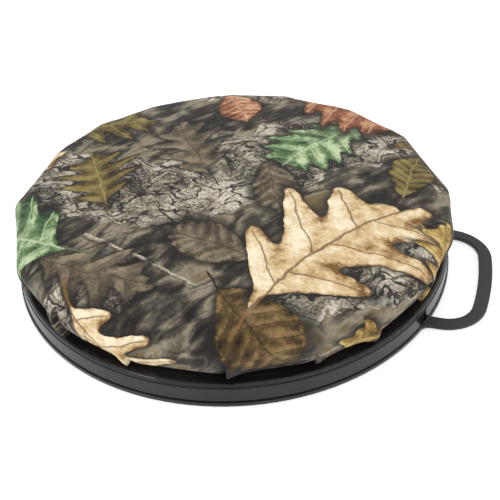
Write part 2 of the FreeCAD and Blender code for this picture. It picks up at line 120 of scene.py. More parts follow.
class Tree:
    """Short calls for building a node tree. Every method returns the socket that carries its result."""

    def __init__(self, tree):
        self.tree = tree

    def node(self, kind, **settings):
        made = self.tree.nodes.new(kind)
        for name, value in settings.items():
            setattr(made, name, value)
        return made

    def feed(self, socket, value):
        if isinstance(value, bpy.types.NodeSocket):
            self.tree.links.new(value, socket)
        else:
            socket.default_value = value

    def math(self, operation, a, b=0.0):
        made = self.node("ShaderNodeMath", operation=operation)
        for socket, value in zip(made.inputs, (a, b)):
            self.feed(socket, value)
        return made.outputs[0]

    def add(self, a, b):
        return self.math("ADD", a, b)

    def sub(self, a, b):
        return self.math("SUBTRACT", a, b)

    def mul(self, a, b):
        return self.math("MULTIPLY", a, b)

    def step(self, value, low, high):
        """0 below low, 1 above high and smooth between. With low above high it falls instead."""
        made = self.node("ShaderNodeMapRange", interpolation_type="SMOOTHSTEP", clamp=False)
        self.feed(made.inputs["Value"], value)
        self.feed(made.inputs["From Min"], min(low, high))
        self.feed(made.inputs["From Max"], max(low, high))
        self.feed(made.inputs["To Min"], 0.0 if low < high else 1.0)
        self.feed(made.inputs["To Max"], 1.0 if low < high else 0.0)
        return made.outputs["Result"]

    def split(self, vector):
        made = self.node("ShaderNodeSeparateXYZ")
        self.feed(made.inputs[0], vector)
        return made.outputs

    def join(self, x, y, z=0.0):
        made = self.node("ShaderNodeCombineXYZ")
        for socket, value in zip(made.inputs, (x, y, z)):
            self.feed(socket, value)
        return made.outputs[0]

    def mix(self, factor, a, b, blend="MIX"):
        made = self.node("ShaderNodeMix", data_type="RGBA", blend_type=blend)
        self.feed(made.inputs[0], factor)
        self.feed(made.inputs[6], a)
        self.feed(made.inputs[7], b)
        return made.outputs[2]

    def placed(self, vector, at=(0, 0), turn=0.0, size=(1, 1)):
        """The vector in the frame of something placed at a point, turned in degrees and scaled."""
        made = self.node("ShaderNodeMapping", vector_type="TEXTURE")
        self.feed(made.inputs["Vector"], vector)
        made.inputs["Location"].default_value = (at[0], at[1], 0)
        made.inputs["Rotation"].default_value = (0, 0, math.radians(turn))
        made.inputs["Scale"].default_value = (size[0], size[1], 1)
        return made.outputs[0]

    def pushed(self, vector, noise, reach):
        """The vector pushed about by a noise colour, up to half the reach each way."""
        centred = self.node("ShaderNodeVectorMath", operation="SUBTRACT")
        self.feed(centred.inputs[0], noise)
        centred.inputs[1].default_value = (0.5, 0.5, 0.5)
        moved = self.node("ShaderNodeVectorMath", operation="MULTIPLY_ADD")
        self.feed(moved.inputs[0], centred.outputs[0])
        moved.inputs[1].default_value = (reach, reach, 0.0)
        self.feed(moved.inputs[2], vector)
        return moved.outputs[0]

    def noise(self, vector, scale, detail=2.0, roughness=0.5, distortion=0.0, colour=False):
        made = self.node("ShaderNodeTexNoise")
        self.feed(made.inputs["Vector"], vector)
        made.inputs["Scale"].default_value = scale
        made.inputs["Detail"].default_value = detail
        made.inputs["Roughness"].default_value = roughness
        made.inputs["Distortion"].default_value = distortion
        return made.outputs["Color" if colour else "Fac"]

    def cracks(self, vector, scale):
        """Distance from the nearest border between irregular cells."""
        made = self.node("ShaderNodeTexVoronoi", feature="DISTANCE_TO_EDGE")
        self.feed(made.inputs["Vector"], vector)
        made.inputs["Scale"].default_value = scale
        return made.outputs["Distance"]

    def curve(self, value, points):
        """A smooth curve through a few points."""
        made = self.node("ShaderNodeFloatCurve")
        self.feed(made.inputs["Value"], value)
        line = made.mapping.curves[0]
        while len(line.points) < len(points):
            line.points.new(0.5, 0.5)
        for point, (x, y) in zip(line.points, points):
            point.location = (x, y)
            point.handle_type = "AUTO"
        made.mapping.update()
        return made.outputs[0]

    def ramp(self, value, stops):
        """Colours by value."""
        made = self.node("ShaderNodeValToRGB")
        self.feed(made.inputs[0], value)
        line = made.color_ramp
        while len(line.elements) < len(stops):
            line.elements.new(0.5)
        for element, (place, colour) in zip(line.elements, stops):
            element.position = place
            element.color = (*colour, 1)
        return made.outputs[0]

    def bump(self, height, strength, distance, normal=None):
        made = self.node("ShaderNodeBump")
        made.inputs["Strength"].default_value = strength
        made.inputs["Distance"].default_value = distance
        self.feed(made.inputs["Height"], height)
        if normal is not None:
            self.feed(made.inputs["Normal"], normal)
        return made.outputs[0]


def srgb(*values):
    """A colour given as 0 to 255 screen values, as linear light."""
    return tuple((v / 255 / 12.92) if v < 10 else ((v / 255 + 0.055) / 1.055) ** 2.4 for v in values)


def opaque(colour):
    return (*colour, 1.0)


SHADER_SOCKETS = {
    "metallic": "Metallic",
    "roughness": "Roughness",
    "specular": "Specular IOR Level",
    "sheen": "Sheen Weight",
    "glow": "Emission Strength",
}


def new_material(name, **values):
    """A material with one Principled shader whose uniform values are set on its own sockets."""
    material = bpy.data.materials.new(name)
    material.use_nodes = True
    shader = material.node_tree.nodes["Principled BSDF"]
    for key, value in values.items():
        shader.inputs[SHADER_SOCKETS[key]].default_value = value
    return material, Tree(material.node_tree), shader


# ---------------------------------------------------------------- the printed cloth


def new_group(name, inputs, outputs):
    """An empty node group with its sockets, as (group, tree, input node, output node)."""
    group = bpy.data.node_groups.new(name, "ShaderNodeTree")
    for socket, kind in inputs:
        group.interface.new_socket(socket, in_out="INPUT", socket_type=kind)
    for socket, kind in outputs:
        group.interface.new_socket(socket, in_out="OUTPUT", socket_type=kind)
    tree = Tree(group)
    return group, tree, tree.node("NodeGroupInput"), tree.node("NodeGroupOutput")


FLOAT, VECTOR, COLOUR = "NodeSocketFloat", "NodeSocketVector", "NodeSocketColor"

# Half the leaf's width along its midrib, for four kinds of leaf
OAK_OUTLINE = (
    (0.0, 0.0), (0.06, 0.04), (0.16, 0.24), (0.25, 0.12), (0.36, 0.37), (0.46, 0.14), (0.57, 0.4),
    (0.67, 0.13), (0.78, 0.27), (0.87, 0.12), (0.95, 0.08), (1.0, 0.0),
)
BROAD_OUTLINE = (
    (0.0, 0.0), (0.05, 0.07), (0.19, 0.38), (0.3, 0.17), (0.46, 0.5), (0.58, 0.2), (0.73, 0.36),
    (0.84, 0.14), (0.93, 0.1), (1.0, 0.0),
)
TOOTHED_OUTLINE = (
    (0.0, 0.0), (0.05, 0.1), (0.14, 0.25), (0.225, 0.19), (0.315, 0.34), (0.4, 0.25), (0.49, 0.38),
    (0.575, 0.26), (0.665, 0.33), (0.75, 0.2), (0.84, 0.22), (0.91, 0.12), (1.0, 0.0),
)
PLAIN_OUTLINE = ((0.0, 0.0), (0.12, 0.16), (0.35, 0.27), (0.6, 0.22), (0.85, 0.08), (1.0, 0.0))


def leaf_group(name, outline, vein_from, vein_gap, lean):
    """A leaf along the local X axis from 0 to 1: its mask, the shadow round it, a shade from dark to
    light, its veins and its outline. Side veins leave the midrib every vein_gap, one into each lobe, and
    the two halves alternate."""
    group, t, given, out = new_group(
        name,
        [("Vector", VECTOR), ("Bend", FLOAT), ("Net", FLOAT), ("Tone", FLOAT), ("Wear", FLOAT)],
        [("Mask", FLOAT), ("Halo", FLOAT), ("Shade", FLOAT), ("Vein", FLOAT), ("Rim", FLOAT)],
    )
    x, y, _ = t.split(given.outputs["Vector"])
    y = t.sub(y, t.mul(given.outputs["Bend"], t.mul(x, t.sub(1.0, x))))
    side = t.math("ABSOLUTE", y)
    upper = t.step(y, -0.004, 0.004)
    along = t.add(t.sub(x, t.mul(side, lean)), t.mul(t.sub(upper, 0.5), vein_gap * 0.35))
    width = t.curve(along, outline)
    inside = t.sub(width, side)
    ends = t.mul(t.step(along, -0.002, 0.01), t.step(along, 1.0, 0.985))
    mask = t.mul(t.step(inside, 0.0, 0.01), ends)
    stem = t.mul(t.step(side, 0.01, 0.005), t.mul(t.step(x, -0.2, -0.19), t.step(x, 0.08, 0.04)))

    turn = t.add(t.math("DIVIDE", t.sub(along, vein_from), vein_gap), 0.5)
    between = t.mul(t.math("ABSOLUTE", t.sub(t.math("FRACT", turn), 0.5)), vein_gap)
    midrib = t.step(side, 0.011, 0.004)
    side_vein = t.mul(t.step(between, 0.008, 0.002), t.step(inside, 0.0, 0.05))
    vein = t.math("MAXIMUM", t.math("MAXIMUM", midrib, side_vein), given.outputs["Net"])

    quilted = t.mul(t.math("SINE", t.mul(turn, 2 * math.pi)), t.mul(t.step(side, 0.0, 0.06), 0.14))
    lit = t.mul(t.step(y, -0.16, 0.16), 0.2)
    worn_edge = t.mul(t.step(inside, 0.1, 0.0), given.outputs["Wear"])
    shade = t.add(t.add(given.outputs["Tone"], lit), t.sub(quilted, worn_edge))
    t.feed(out.inputs["Mask"], t.math("MAXIMUM", mask, stem))
    t.feed(out.inputs["Halo"], t.mul(t.step(inside, -0.15, 0.0), t.step(x, -0.14, 0.02)))
    t.feed(out.inputs["Shade"], shade)
    t.feed(out.inputs["Vein"], vein)
    t.feed(out.inputs["Rim"], t.step(inside, 0.022, 0.004))
    return group


def bark_group():
    """A strip of cracked bark along the local X axis, in millimetres: its mask and its colour."""
    group, t, given, out = new_group(
        "bark",
        [("Vector", VECTOR), ("Length", FLOAT), ("Width", FLOAT), ("Tone", FLOAT), ("Crack", FLOAT)],
        [("Mask", FLOAT), ("Colour", COLOUR)],
    )
    x, y, _ = t.split(given.outputs["Vector"])
    fibre = t.noise(t.join(t.mul(x, 0.11), t.mul(y, 0.75)), 1.0, detail=4.0, roughness=0.68)
    edge = t.sub(t.mul(given.outputs["Width"], 0.5), t.math("ABSOLUTE", y))
    edge = t.add(edge, t.mul(t.sub(fibre, 0.5), 16.0))
    ends = t.mul(t.step(x, 0.0, 14.0), t.step(t.sub(x, given.outputs["Length"]), 0.0, -14.0))
    mask = t.mul(t.step(edge, 0.0, 3.0), ends)
    pale = t.ramp(
        t.add(t.mul(t.sub(fibre, 0.5), 1.3), given.outputs["Tone"]),
        ((0.08, srgb(44, 40, 37)), (0.3, srgb(76, 70, 62)), (0.45, srgb(122, 113, 98)),
         (0.66, srgb(168, 159, 142)), (0.95, srgb(206, 198, 182))),
    )
    dark = opaque(srgb(38, 34, 32))
    hair = t.step(t.cracks(t.join(t.mul(x, 0.13), t.mul(y, 0.33)), 1.0), 0.05, 0.0)
    worn = t.mix(t.mul(hair, 0.55), pale, dark)
    wide = t.math("DIVIDE", t.cracks(t.join(t.mul(x, 0.045), t.mul(y, 0.115)), 1.0), given.outputs["Crack"])
    t.feed(out.inputs["Colour"], t.mix(t.mul(t.step(wide, 1.0, 0.4), 0.94), worn, dark))
    t.feed(out.inputs["Mask"], mask)
    return group


def twig_group():
    """A thin twig along the local X axis from 0 to 1: its mask and a shade across it."""
    group, t, given, out = new_group(
        "twig",
        [("Vector", VECTOR), ("Bend", FLOAT), ("Thick", FLOAT), ("Tone", FLOAT)],
        [("Mask", FLOAT), ("Shade", FLOAT)],
    )
    x, y, _ = t.split(given.outputs["Vector"])
    arch = t.mul(given.outputs["Bend"], t.mul(x, t.sub(1.0, x)))
    half = t.mul(given.outputs["Thick"], t.sub(1.0, t.mul(x, 0.55)))
    across = t.math("DIVIDE", t.sub(y, arch), half)
    mask = t.step(t.math("ABSOLUTE", across), 1.0, 0.75)
    ends = t.mul(t.step(x, -0.01, 0.0), t.step(x, 1.0, 0.99))
    t.feed(out.inputs["Mask"], t.mul(mask, ends))
    t.feed(out.inputs["Shade"], t.add(given.outputs["Tone"], t.mul(across, 0.35)))
    return group


# Leaf colours: dark, middle, light, veins, and how strongly the veins are drawn
TAN = (srgb(120, 86, 50), srgb(206, 178, 132), srgb(238, 224, 194), srgb(88, 62, 40), 0.75)
GOLD = (srgb(70, 52, 26), srgb(150, 120, 62), srgb(204, 178, 116), srgb(70, 52, 30), 0.6)
GREEN = (srgb(30, 50, 34), srgb(88, 116, 74), srgb(184, 200, 158), srgb(196, 208, 170), 0.6)
RUST = (srgb(78, 40, 26), srgb(146, 92, 62), srgb(204, 162, 126), srgb(214, 184, 154), 0.5)
OLIVE = (srgb(40, 34, 20), srgb(92, 78, 42), srgb(138, 122, 72), srgb(164, 150, 96), 0.6)
BROWN = (srgb(34, 28, 20), srgb(84, 66, 40), srgb(136, 112, 74), srgb(48, 38, 26), 0.6)
DRAB = (srgb(44, 40, 35), srgb(92, 82, 66), srgb(138, 126, 104), srgb(54, 48, 42), 0.6)

# Leaves from the bottom of the pile to the top: kind, length, width as a share of the length, and
# colours. Lengths and widths in the print are in millimetres.
LEAVES = (
    ("plain", 74, 0.8, DRAB), ("oak", 92, 0.8, DRAB), ("toothed", 96, 0.9, GOLD), ("oak", 86, 0.9, DRAB),
    ("plain", 66, 0.9, OLIVE), ("oak", 104, 1.0, TAN), ("plain", 70, 1.0, DRAB), ("oak", 92, 0.9, OLIVE),
    ("broad", 104, 1.1, BROWN), ("toothed", 90, 1.0, GREEN), ("plain", 84, 1.2, BROWN),
    ("oak", 96, 0.9, TAN), ("oak", 72, 1.1, OLIVE), ("toothed", 124, 1.0, RUST), ("oak", 76, 1.0, GOLD),
    ("broad", 140, 0.9, TAN), ("toothed", 116, 1.1, GREEN), ("oak", 110, 1.0, TAN),
    ("plain", 62, 1.1, RUST), ("oak", 70, 1.0, GOLD),
)

# Strips of bark: length and width
BARK = ((210, 90), (190, 84), (170, 60), (150, 54), (150, 44), (130, 40))

# Twigs: length, and half width as a share of the length
TWIGS = ((120, 0.03), (96, 0.026), (90, 0.03), (70, 0.034), (62, 0.04), (40, 0.045))

# The print's layout is a rule, not a picture: everything lies on golden-angle spirals about the cloth's
# middle, and turns and bends at random.
GOLDEN_ANGLE = math.pi * (3 - math.sqrt(5))
PRINT_REACH = 205
PRINT_SEED = 11
PILE_STRIDE = 7
MOST_BEND = 0.3


def spiral_place(i, count, start):
    """The i-th of count places spread evenly over the cloth, on a spiral from the given angle."""
    r = PRINT_REACH * math.sqrt((i + 0.5) / count)
    angle = start + i * GOLDEN_ANGLE
    return (r * math.cos(angle), r * math.sin(angle))


def use_group(tree, group, **values):
    """A group's node with its inputs fed."""
    made = tree.node("ShaderNodeGroup", node_tree=group)
    for name, value in values.items():
        tree.feed(made.inputs[name], value)
    return made.outputs


def tail_of(place, turn, length):
    """Where something of this length starts, from its middle and its direction."""
    along = math.radians(turn)
    return (place[0] - length / 2 * math.cos(along), place[1] - length / 2 * math.sin(along))


def forest_floor(t, cloth, mottle, grain):
    """The dark, blurred ground that shows between the leaves."""
    litter = t.noise(t.placed(cloth, turn=58, size=(2.6, 1)), 0.075, detail=3.0, distortion=1.2)
    pale = t.noise(cloth, 0.02, detail=1.0)
    tone = t.add(t.mul(t.sub(litter, 0.5), 1.5), t.mul(t.sub(pale, 0.5), 1.4))
    tone = t.add(t.add(tone, 0.55), t.add(t.mul(mottle, 0.5), t.mul(grain, 0.25)))
    return t.ramp(
        tone,
        ((0.2, srgb(30, 28, 26)), (0.42, srgb(58, 54, 48)), (0.56, srgb(92, 86, 74)),
         (0.72, srgb(140, 131, 112)), (0.9, srgb(112, 98, 68))),
    )


def lay_bark(t, colour, cloth, chance, tone, crack):
    """The strips of bark over the ground."""
    group = bark_group()
    for i, (length, width) in enumerate(BARK):
        turn = chance.uniform(0, 360)
        start = tail_of(spiral_place(i, len(BARK), 1.0), turn, length)
        local = t.placed(cloth, start, turn)
        got = use_group(t, group, Vector=local, Length=length, Width=width, Tone=tone, Crack=crack)
        colour = t.mix(got["Mask"], colour, got["Colour"])
    return colour


def lay_twigs(t, colour, cloth, chance, tone):
    """The twigs over the bark."""
    group = twig_group()
    for i, (length, thick) in enumerate(TWIGS):
        turn, bend = chance.uniform(0, 360), chance.uniform(-MOST_BEND, MOST_BEND)
        start = tail_of(spiral_place(i, len(TWIGS), 2.0), turn, length)
        local = t.placed(cloth, start, turn, (length, length))
        got = use_group(t, group, Vector=local, Bend=bend, Thick=thick, Tone=tone)
        shaded = t.ramp(
            got["Shade"], ((0.2, srgb(66, 56, 48)), (0.5, srgb(140, 128, 110)), (0.8, srgb(196, 187, 170)))
        )
        colour = t.mix(got["Mask"], colour, shaded)
    return colour


def lay_leaves(t, colour, cloth, chance, **shared):
    """The pile of leaves, each with a shadow round it."""
    kinds = {
        "oak": leaf_group("oak_leaf", OAK_OUTLINE, 0.16, 0.205, 0.42),
        "broad": leaf_group("broad_leaf", BROAD_OUTLINE, 0.19, 0.27, 0.5),
        "toothed": leaf_group("toothed_leaf", TOOTHED_OUTLINE, 0.14, 0.175, 0.55),
        "plain": leaf_group("plain_leaf", PLAIN_OUTLINE, 0.1, 0.12, 0.6),
    }
    for i, (kind, length, width, (dark, middle, light, vein, drawn)) in enumerate(LEAVES):
        turn, bend = chance.uniform(0, 360), chance.uniform(-MOST_BEND, MOST_BEND)
        spot = i * PILE_STRIDE % len(LEAVES)
        start = tail_of(spiral_place(spot, len(LEAVES), 0.0), turn, length)
        local = t.placed(cloth, start, turn, (length, length * width))
        got = use_group(t, kinds[kind], Vector=local, Bend=bend, **shared)
        shaded = t.mix(t.mul(got["Halo"], 0.86), colour, opaque(srgb(34, 32, 30)))
        blade = t.ramp(got["Shade"], ((0.1, dark), (0.48, middle), (0.86, light)))
        blade = t.mix(t.mul(got["Vein"], drawn), blade, opaque(vein))
        blade = t.mix(t.mul(got["Rim"], 0.75), blade, opaque(dark))
        colour = t.mix(got["Mask"], shaded, blade)
    return colour


def printed_colour(t, cloth):
    """The cloth's print and its grain, from its flat coordinates in millimetres.

    The tones are worked out once here and shared by every leaf, strip and twig, which keeps the material
    small enough to render.
    """
    wobble = t.noise(cloth, 0.045, detail=3.0, colour=True)
    leaf_place = t.pushed(cloth, wobble, 9.0)
    bark_place = t.pushed(cloth, wobble, 34.0)
    grain = t.sub(t.noise(cloth, 0.42, detail=3.0, roughness=0.7), 0.5)
    mottle = t.sub(t.noise(cloth, 0.085, detail=4.0, roughness=0.66), 0.5)
    net = t.mul(t.step(t.cracks(cloth, 0.3), 0.06, 0.0), 0.16)
    leaf_tone = t.add(t.add(0.46, t.mul(mottle, 1.5)), t.mul(grain, 0.5))
    wear = t.mul(t.step(mottle, 0.16, -0.08), 0.34)
    patch = t.sub(t.noise(cloth, 0.021, detail=2.0), 0.5)
    bark_tone = t.add(t.add(0.58, t.mul(mottle, 0.9)), t.add(t.mul(grain, 1.5), t.mul(patch, 1.9)))
    crack_width = t.add(0.035, t.mul(t.step(mottle, -0.08, 0.16), 0.1))
    twig_tone = t.add(0.5, t.mul(grain, 1.4))

    chance = np.random.default_rng(PRINT_SEED)
    colour = forest_floor(t, cloth, mottle, grain)
    colour = lay_bark(t, colour, bark_place, chance, bark_tone, crack_width)
    colour = lay_twigs(t, colour, leaf_place, chance, twig_tone)
    colour = lay_leaves(t, colour, leaf_place, chance, Net=net, Tone=leaf_tone, Wear=wear)
    return colour, grain


def cloth_material():
    """Printed plain-weave polyester: the print, a fine weave in relief with painted shade to match, and a
    soft sheen.
    """
    material, t, shader = new_material(
        "printed_cloth", roughness=0.82, specular=0.15, sheen=0.06
    )
    cloth = t.node("ShaderNodeAttribute", attribute_name="cloth").outputs["Vector"]
    colour, grain = printed_colour(t, cloth)
    x, y, _ = t.split(cloth)
    threads_per_mm = 1.5
    warp = t.math("SINE", t.mul(x, 2 * math.pi * threads_per_mm))
    weft = t.math("SINE", t.mul(y, 2 * math.pi * threads_per_mm))
    weave = t.mul(warp, weft)
    speck = t.sub(t.noise(cloth, 1.4, detail=1.0), 0.5)
    # Specks and grain vary the cloth's own tone. The weave term is painted light and shade: lighter where
    # the threads rise, darker where they dip, on the same pattern as the bump.
    specks_grain_and_weave_shade = t.add(t.add(1.0, t.mul(speck, 0.3)), t.add(t.mul(weave, 0.05), t.mul(grain, 0.18)))
    scaled = t.mix(1.0, colour, t.join(specks_grain_and_weave_shade, specks_grain_and_weave_shade, specks_grain_and_weave_shade), blend="MULTIPLY")
    t.feed(shader.inputs["Base Color"], scaled)
    t.feed(shader.inputs["Roughness"], t.add(0.82, t.mul(grain, 0.1)))
    soft = t.noise(cloth, 0.12, detail=2.0)
    height = t.add(t.mul(weave, 0.12), soft)
    t.feed(shader.inputs["Normal"], t.bump(height, 0.35, 0.0006))
    return material


# ---------------------------------------------------------------- plain materials


def plastic(name, colour, roughness, grain_scale, grain_bump, scuff):
    """Moulded plastic: fine grain, faint swirl of colour, and scuffs that change the gloss."""
    material, t, shader = new_material(name, specular=0.4)
    place = t.node("ShaderNodeTexCoord").outputs["Object"]
    swirl = t.noise(place, 22.0, detail=3.0)
    grain = t.noise(place, grain_scale, detail=2.0)
    scuffs = t.noise(place, 34.0, detail=6.0, roughness=0.75)
    lighter = tuple(min(1.0, c * 1.5 + 0.004) for c in colour)
    t.feed(shader.inputs["Base Color"], t.mix(t.step(swirl, 0.3, 0.75), opaque(colour), opaque(lighter)))
    scuffed = t.mul(t.step(scuffs, 0.58, 0.75), scuff)
    rough = t.add(roughness, t.add(t.mul(t.sub(swirl, 0.5), 0.12), scuffed))
    t.feed(shader.inputs["Roughness"], rough)
    t.feed(shader.inputs["Normal"], t.bump(grain, grain_bump, 0.0002))
    return material


def metal(name, colour, roughness):
    """Plated or polished steel with a faint brushed variation."""
    material, t, shader = new_material(name, metallic=1.0)
    place = t.node("ShaderNodeTexCoord").outputs["Object"]
    tarnish = t.noise(place, 60.0, detail=4.0, roughness=0.6)
    darker = tuple(c * 0.7 for c in colour)
    t.feed(shader.inputs["Base Color"], t.mix(t.step(tarnish, 0.35, 0.7), opaque(darker), opaque(colour)))
    t.feed(shader.inputs["Roughness"], t.add(roughness, t.mul(tarnish, 0.15)))
    t.feed(shader.inputs["Normal"], t.bump(t.noise(place, 700.0), 0.08, 0.0001))
    return material


def wood():
    """Birch plywood: long grain across the face and plies on the edge."""
    material, t, shader = new_material("plywood", specular=0.3)
    place = t.node("ShaderNodeTexCoord").outputs["Object"]
    x, y, z = t.split(place)
    grain = t.noise(t.join(t.mul(x, 12.0), t.mul(y, 220.0), z), 1.0, detail=5.0, roughness=0.6)
    ply = t.step(t.math("SINE", t.mul(z, 2 * math.pi / 0.0026)), -0.2, 0.5)
    tone = t.mix(t.step(grain, 0.3, 0.7), opaque(srgb(150, 118, 80)), opaque(srgb(206, 176, 134)))
    t.feed(shader.inputs["Base Color"], t.mix(t.mul(ply, 0.25), tone, opaque(srgb(122, 90, 58))))
    t.feed(shader.inputs["Roughness"], t.add(0.6, t.mul(grain, 0.2)))
    t.feed(shader.inputs["Normal"], t.bump(grain, 0.3, 0.0003))
    return material


def foam():
    """Open-cell foam."""
    material, t, shader = new_material("pad_foam", roughness=0.95, specular=0.1)
    place = t.node("ShaderNodeTexCoord").outputs["Object"]
    cells = t.cracks(place, 900.0)
    patch = t.noise(place, 30.0, detail=3.0)
    t.feed(
        shader.inputs["Base Color"],
        t.mix(patch, opaque(srgb(70, 72, 76)), opaque(srgb(112, 114, 118))),
    )
    t.feed(shader.inputs["Normal"], t.bump(t.step(cells, 0.0, 0.2), 0.5, 0.0004))
    return material


def rubber():
    """Soft dark sealing rubber."""
    material, t, shader = new_material("gasket_rubber", specular=0.3)
    place = t.node("ShaderNodeTexCoord").outputs["Object"]
    bloom = t.noise(place, 90.0, detail=4.0)
    t.feed(shader.inputs["Base Color"], t.mix(bloom, opaque(srgb(30, 30, 31)), opaque(srgb(58, 57, 56))))
    t.feed(shader.inputs["Roughness"], t.add(0.65, t.mul(bloom, 0.2)))
    t.feed(shader.inputs["Normal"], t.bump(bloom, 0.2, 0.0002))
    return material


def elastic():
    """Braided black elastic cord, with painted highlight on its strands and painted shade between them."""
    material, t, shader = new_material("hem_elastic", roughness=0.9, sheen=0.2)
    x, y, z = t.split(t.node("ShaderNodeTexCoord").outputs["Object"])
    turn = t.math("ARCTAN2", y, x)
    braid = t.math("SINE", t.add(t.mul(turn, 700.0), t.mul(z, 4000.0)))
    # The colour is painted light and shade: grey on the braid's ridges, near black in the grooves,
    # following the same wave as the bump.
    t.feed(
        shader.inputs["Base Color"],
        t.mix(t.step(braid, -0.6, 0.6), opaque(srgb(26, 26, 27)), opaque(srgb(64, 63, 62))),
    )
    t.feed(shader.inputs["Normal"], t.bump(braid, 0.4, 0.0003))
    return material


# ---------------------------------------------------------------- the cushion's shape


def section(depth, spacing):
    """Points (r, z) down the cushion's surface, from the crown to the hem, a depth below the cover."""
    shoulder = (WIDEST_R - SHOULDER_R, WIDEST_Z)
    flank = (WIDEST_R - FLANK_R, WIDEST_Z)
    shoulder_r = SHOULDER_R - depth
    flank_r = FLANK_R - depth
    rise = CROWN_Z - depth - WIDEST_Z
    crown_r = (shoulder[0] ** 2 + rise**2 - shoulder_r**2) / (2 * (rise - shoulder_r))
    crown_z = CROWN_Z - depth - crown_r
    meet = math.atan2(shoulder[1] - crown_z, shoulder[0])
    foot_z = HEM_Z + HEM_CORNER_R
    lean = math.asin((foot_z - flank[1]) / flank_r)
    corner = (flank[0] + flank_r * math.cos(lean) - HEM_CORNER_R, foot_z)
    arcs = (
        ((0.0, crown_z), crown_r, math.pi / 2, meet, CROWN_SPACING),
        (shoulder, shoulder_r, meet, 0.0, spacing),
        (flank, flank_r, 0.0, lean, spacing),
        (corner, HEM_CORNER_R, lean, -math.pi / 2, spacing / 2),
    )
    points = []
    for (cx, cz), radius, start, end, gap in arcs:
        count = max(3, round(radius * abs(end - start) / gap))
        for i in range(count):
            angle = start + (end - start) * i / count
            points.append((cx + radius * math.cos(angle), cz + radius * math.sin(angle)))
    return points


def pull_angles():
    """The pull points' angles in radians, with the first one again at the end, a turn later."""
    return np.radians([angle for angle, *_ in PULLS] + [PULLS[0][0] + 360])


def turn_of(places):
    """The angle of each place round the rim, where a whole number is a pull point. Finer at the pulls."""
    angles = pull_angles()
    whole = np.floor(places).astype(int)
    part = places - whole
    part = part - PULL_GRADING / (2 * math.pi) * np.sin(2 * math.pi * part)
    first = angles[whole % len(PULLS)]
    last = angles[whole % len(PULLS) + 1]
    return first + (last - first) * part


def between_pulls(angles):
    """The angles of the pull points before and after each angle."""
    marks = pull_angles()
    where = np.clip(np.searchsorted(marks, angles, side="right") - 1, 0, len(PULLS) - 1)
    return marks[where], marks[where + 1]


def ring_segments(radius):
    """How many segments a ring gets per pull point."""
    return next(SEGMENTS_PER_PULL // share for inner, share in RING_SHARES if radius > inner)


def disc_mesh(name, profile):
    """A mesh turned from a profile that starts on the axis, as the object and each vertex's row in the
    profile."""
    verts = [(0.0, 0.0, profile[0][1])]
    rows = [0]
    rings = []
    for row, (r, z) in enumerate(profile[1:], start=1):
        on_top = row < len(profile) // 2
        count = len(PULLS) * (ring_segments(r) if on_top else SEGMENTS_PER_PULL)
        angles = turn_of(np.arange(count) * len(PULLS) / count)
        rings.append(range(len(verts), len(verts) + count))
        verts += [(r * math.cos(a), r * math.sin(a), z) for a in angles]
        rows += [row] * count
    faces = [(0, rings[0][i], rings[0][(i + 1) % len(rings[0])]) for i in range(len(rings[0]))]
    for inner, outer in zip(rings, rings[1:]):
        faces += band_faces(inner, outer)
    mesh = bpy.data.meshes.new(name)
    mesh.from_pydata(verts, [], faces)
    mesh.update()
    made = bpy.data.objects.new(name, mesh)
    bpy.context.scene.collection.objects.link(made)
    return made, np.array(rows)


def band_faces(inner, outer):
    """Faces between two rings, where the outer one has as many points or twice as many."""
    faces = []
    n = len(inner)
    for i in range(n):
        j = (i + 1) % n
        if len(outer) == n:
            faces.append((inner[i], outer[i], outer[j], inner[j]))
            continue
        a, b, c = outer[2 * i], outer[2 * i + 1], outer[(2 * i + 2) % len(outer)]
        faces += [(inner[i], a, b), (inner[i], b, inner[j]), (inner[j], b, c)]
    return faces


def read_points(mesh):
    co = np.zeros(len(mesh.vertices) * 3)
    mesh.vertices.foreach_get("co", co)
    return co.reshape(-1, 3)


def write_points(mesh, co):
    mesh.vertices.foreach_set("co", co.ravel())
    mesh.update()


def smooth_step(x, low, high):
    t = np.clip((x - low) / (high - low), 0.0, 1.0)
    return t * t * (3 - 2 * t)


def polygon_factor(angles):
    """How far the straight chords between pull points lie from the widest circle, as a factor."""
    before, after = between_pulls(angles)
    half = (after - before) / 2
    off = angles - before - half
    return CORNER_R / WIDEST_R * np.cos(half) / np.cos(off)


def shape_polygon(co):
    """Pulls the round form out to its corners and in to its straight chords."""
    r = np.hypot(co[:, 0], co[:, 1])
    angles = np.mod(np.arctan2(co[:, 1], co[:, 0]), 2 * math.pi)
    side = smooth_step(r, POLYGON_FROM_R, WIDEST_R - SHOULDER_R)
    under = smooth_step(co[:, 2], BOARD_UNDER_Z - 0.1 * MM, BOARD_UNDER_Z + 4 * MM)
    factor = 1 + (polygon_factor(angles) - 1) * side * (0.45 + 0.55 * under)
    co = co.copy()
    co[:, 0] *= factor
    co[:, 1] *= factor
    return co


# ---------------------------------------------------------------- cloth simulation


